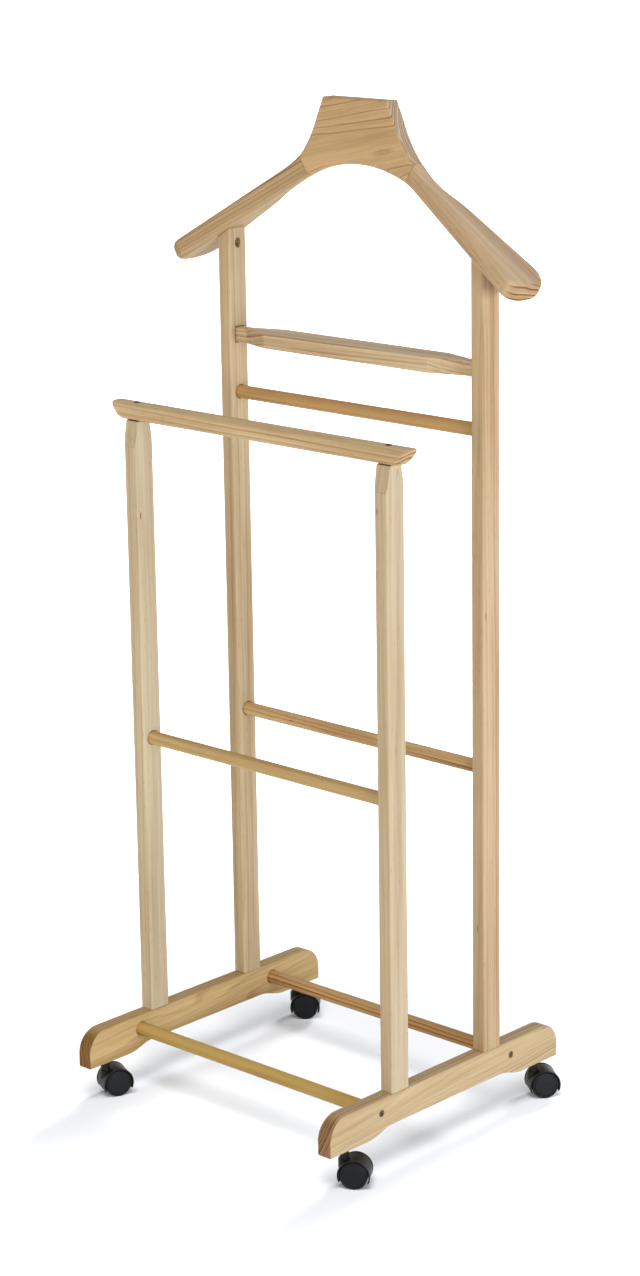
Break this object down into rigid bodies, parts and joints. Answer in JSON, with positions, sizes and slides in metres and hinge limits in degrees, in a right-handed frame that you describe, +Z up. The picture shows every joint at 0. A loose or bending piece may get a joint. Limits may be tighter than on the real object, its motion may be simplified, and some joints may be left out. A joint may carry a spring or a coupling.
{
  "type": "clothes valet stand",
  "caption": "Pine clothes valet stand with a contoured suit hanger, trouser and tie rails, dowel cross bars and swivelling twin-wheel casters.",
  "frame": {"origin": "centre of the stand on the floor, under the middle of its bounding box", "axes": "+X to the right along the rails, +Y to the rear towards the tall hanger frame, +Z up"},
  "size_m": [0.4984, 0.372, 1.095],
  "materials": {
    "pine": "natural pine with a thin clear satin varnish",
    "dowel_wood": "honey-coloured wood with a thin clear satin varnish",
    "screw_steel": "blackened steel",
    "caster_plastic": "black moulded plastic, fine grained",
    "wheel_plastic": "blue-black moulded plastic, satin",
    "caster_steel": "zinc-plated steel"
  },
  "bodies": {
    "stand": {"left_foot": "pine", "right_foot": "pine", "left_front_post": "pine", "right_front_post": "pine", "left_rear_post": "pine", "right_rear_post": "pine", "front_top_rail": "dowel_wood", "rear_top_rail": "pine", "rear_upper_dowel": "dowel_wood", "front_mid_dowel": "dowel_wood", "rear_mid_dowel": "dowel_wood", "front_bottom_dowel": "dowel_wood", "rear_bottom_dowel": "dowel_wood", "hanger_block": "pine", "left_hanger_arm": "pine", "right_hanger_arm": "pine", "hanger_joint_pins": "dowel_wood", "hanger_screws": "screw_steel", "front_rail_screws": "screw_steel", "foot_side_screws": "screw_steel", "post_base_screws": "screw_steel", "caster_sleeves": "caster_plastic"},
    "front_left_caster": {"front_left_hood": "caster_plastic", "front_left_stem": "caster_steel", "front_left_axle": "caster_steel"},
    "front_left_outer_wheel_body": {"front_left_outer_wheel": "wheel_plastic"},
    "front_left_inner_wheel_body": {"front_left_inner_wheel": "wheel_plastic"},
    "front_right_caster": {"front_right_hood": "caster_plastic", "front_right_stem": "caster_steel", "front_right_axle": "caster_steel"},
    "front_right_outer_wheel_body": {"front_right_outer_wheel": "wheel_plastic"},
    "front_right_inner_wheel_body": {"front_right_inner_wheel": "wheel_plastic"},
    "rear_left_caster": {"rear_left_hood": "caster_plastic", "rear_left_stem": "caster_steel", "rear_left_axle": "caster_steel"},
    "rear_left_outer_wheel_body": {"rear_left_outer_wheel": "wheel_plastic"},
    "rear_left_inner_wheel_body": {"rear_left_inner_wheel": "wheel_plastic"},
    "rear_right_caster": {"rear_right_hood": "caster_plastic", "rear_right_stem": "caster_steel", "rear_right_axle": "caster_steel"},
    "rear_right_outer_wheel_body": {"rear_right_outer_wheel": "wheel_plastic"},
    "rear_right_inner_wheel_body": {"rear_right_inner_wheel": "wheel_plastic"}
  },
  "joints": [
    {"name": "front_left_swivel", "type": "hinge", "parent": "stand", "child": "front_left_caster", "pos_m": [-0.181, -0.155, 0.038], "axis": [0, 0, 1], "continuous": true},
    {"name": "front_left_outer_roll", "type": "hinge", "parent": "front_left_caster", "child": "front_left_outer_wheel_body", "pos_m": [-0.17644, -0.14477, 0.015], "axis": [0.9135, -0.4067, 0], "continuous": true},
    {"name": "front_left_inner_roll", "type": "hinge", "parent": "front_left_caster", "child": "front_left_inner_wheel_body", "pos_m": [-0.17644, -0.14477, 0.015], "axis": [0.9135, -0.4067, 0], "continuous": true},
    {"name": "front_right_swivel", "type": "hinge", "parent": "stand", "child": "front_right_caster", "pos_m": [0.181, -0.155, 0.038], "axis": [0, 0, 1], "continuous": true},
    {"name": "front_right_outer_roll", "type": "hinge", "parent": "front_right_caster", "child": "front_right_outer_wheel_body", "pos_m": [0.19029, -0.14874, 0.015], "axis": [0.5592, -0.829, 0], "continuous": true},
    {"name": "front_right_inner_roll", "type": "hinge", "parent": "front_right_caster", "child": "front_right_inner_wheel_body", "pos_m": [0.19029, -0.14874, 0.015], "axis": [0.5592, -0.829, 0], "continuous": true},
    {"name": "rear_left_swivel", "type": "hinge", "parent": "stand", "child": "rear_left_caster", "pos_m": [-0.181, 0.155, 0.038], "axis": [0, 0, 1], "continuous": true},
    {"name": "rear_left_outer_roll", "type": "hinge", "parent": "rear_left_caster", "child": "rear_left_outer_wheel_body", "pos_m": [-0.17255, 0.16235, 0.015], "axis": [0.6561, -0.7547, 0], "continuous": true},
    {"name": "rear_left_inner_roll", "type": "hinge", "parent": "rear_left_caster", "child": "rear_left_inner_wheel_body", "pos_m": [-0.17255, 0.16235, 0.015], "axis": [0.6561, -0.7547, 0], "continuous": true},
    {"name": "rear_right_swivel", "type": "hinge", "parent": "stand", "child": "rear_right_caster", "pos_m": [0.181, 0.155, 0.038], "axis": [0, 0, 1], "continuous": true},
    {"name": "rear_right_outer_roll", "type": "hinge", "parent": "rear_right_caster", "child": "rear_right_outer_wheel_body", "pos_m": [0.18758, 0.16406, 0.015], "axis": [0.809, -0.5878, 0], "continuous": true},
    {"name": "rear_right_inner_roll", "type": "hinge", "parent": "rear_right_caster", "child": "rear_right_inner_wheel_body", "pos_m": [0.18758, 0.16406, 0.015], "axis": [0.809, -0.5878, 0], "continuous": true}
  ]
}
